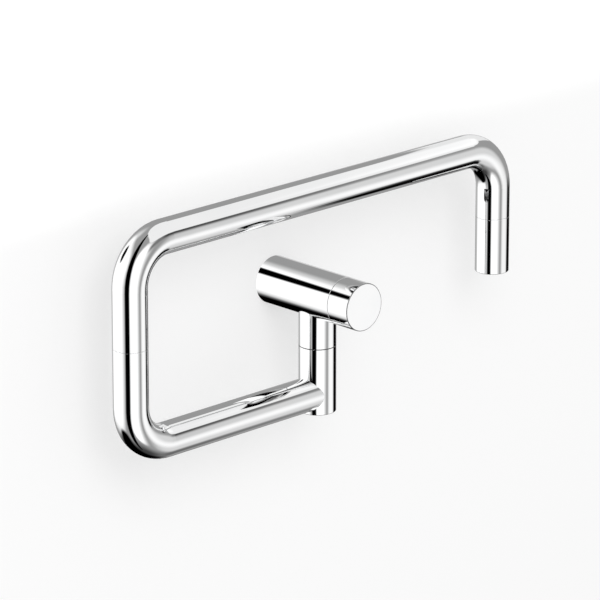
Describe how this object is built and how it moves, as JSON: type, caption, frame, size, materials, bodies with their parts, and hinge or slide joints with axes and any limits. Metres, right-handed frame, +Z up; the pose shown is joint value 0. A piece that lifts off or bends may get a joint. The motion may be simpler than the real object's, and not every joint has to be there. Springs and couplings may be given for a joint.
{
  "type": "wall-mounted folding pot filler faucet",
  "caption": "Wall-mounted cold-water faucet with a front knob, a swivel post, a double-jointed folding tube arm and a twist outlet with an aerator.",
  "frame": {"origin": "centre of the valve body's rear face, in the plane of the wall, on the inlet thread's axis", "axes": "+Z up, +X to the right of someone facing the wall, -Y out of the wall along the valve body"},
  "size_m": [0.385, 0.107, 0.1745],
  "materials": {
    "polished_chrome": "polished chromium plate over brass",
    "plain_brass": "machined, unplated",
    "stainless_steel": "bright machined",
    "black_rubber": "matt",
    "white_ceramic": "lapped alumina",
    "grey_acetal": "satin",
    "aerator_plastic": "satin"
  },
  "bodies": {
    "body": {"inlet_nipple": "plain_brass", "inlet_strainer": "stainless_steel", "nipple_o_ring_1": "black_rubber", "nipple_o_ring_2": "black_rubber", "wall_gasket": "black_rubber", "body_grub_screw": "stainless_steel", "valve_body": "polished_chrome", "headwork_body": "plain_brass", "headwork_gasket": "black_rubber", "headwork_seat_washer": "black_rubber", "headwork_fixed_disc": "white_ceramic", "knob_guide_ring": "grey_acetal", "post_upper": "polished_chrome", "swivel_spigot": "plain_brass", "swivel_o_ring_1": "black_rubber", "swivel_o_ring_2": "black_rubber", "swivel_upper_washer": "grey_acetal", "swivel_lower_washer": "grey_acetal", "swivel_circlip": "stainless_steel"},
    "knob": {"knob": "polished_chrome", "knob_carrier": "plain_brass", "knob_grub_screw": "stainless_steel", "spindle": "plain_brass", "spindle_o_ring_1": "black_rubber", "spindle_o_ring_2": "black_rubber", "stop_washer": "stainless_steel", "spindle_circlip": "stainless_steel", "headwork_moving_disc": "white_ceramic"},
    "lower_arm": {"post_lower": "polished_chrome", "post_end_cap": "polished_chrome", "lower_arm_tube": "polished_chrome", "elbow_spigot": "plain_brass", "elbow_o_ring_1": "black_rubber", "elbow_o_ring_2": "black_rubber", "elbow_washer": "grey_acetal", "elbow_snap_ring": "stainless_steel"},
    "upper_arm": {"elbow_socket": "plain_brass", "upper_arm_tube": "polished_chrome", "outlet_stem": "plain_brass", "outlet_stop_pin": "stainless_steel", "outlet_o_ring_1": "black_rubber", "outlet_snap_ring": "stainless_steel", "outlet_glide_washer": "grey_acetal", "outlet_disc_gasket": "black_rubber", "outlet_fixed_disc": "white_ceramic"},
    "outlet": {"outlet_sleeve": "polished_chrome", "outlet_moving_disc": "white_ceramic", "aerator_washer": "black_rubber", "aerator_ring": "polished_chrome", "aerator_insert": "aerator_plastic"}
  },
  "joints": [
    {"name": "knob_turn", "type": "hinge", "parent": "body", "child": "knob", "pos_m": [0, -0.082, 0], "axis": [0, -1, 0], "range_deg": [0, 90]},
    {"name": "arm_swing", "type": "hinge", "parent": "body", "child": "lower_arm", "pos_m": [0, -0.045, -0.0385], "axis": [0, 0, 1], "range_deg": [0, 180]},
    {"name": "elbow_swing", "type": "hinge", "parent": "lower_arm", "child": "upper_arm", "pos_m": [-0.18, -0.045, 0.0005], "axis": [0, 0, -1], "continuous": true},
    {"name": "outlet_twist", "type": "hinge", "parent": "upper_arm", "child": "outlet", "pos_m": [0.18, -0.045, 0.0195], "axis": [0, 0, -1], "range_deg": [0, 90]}
  ]
}
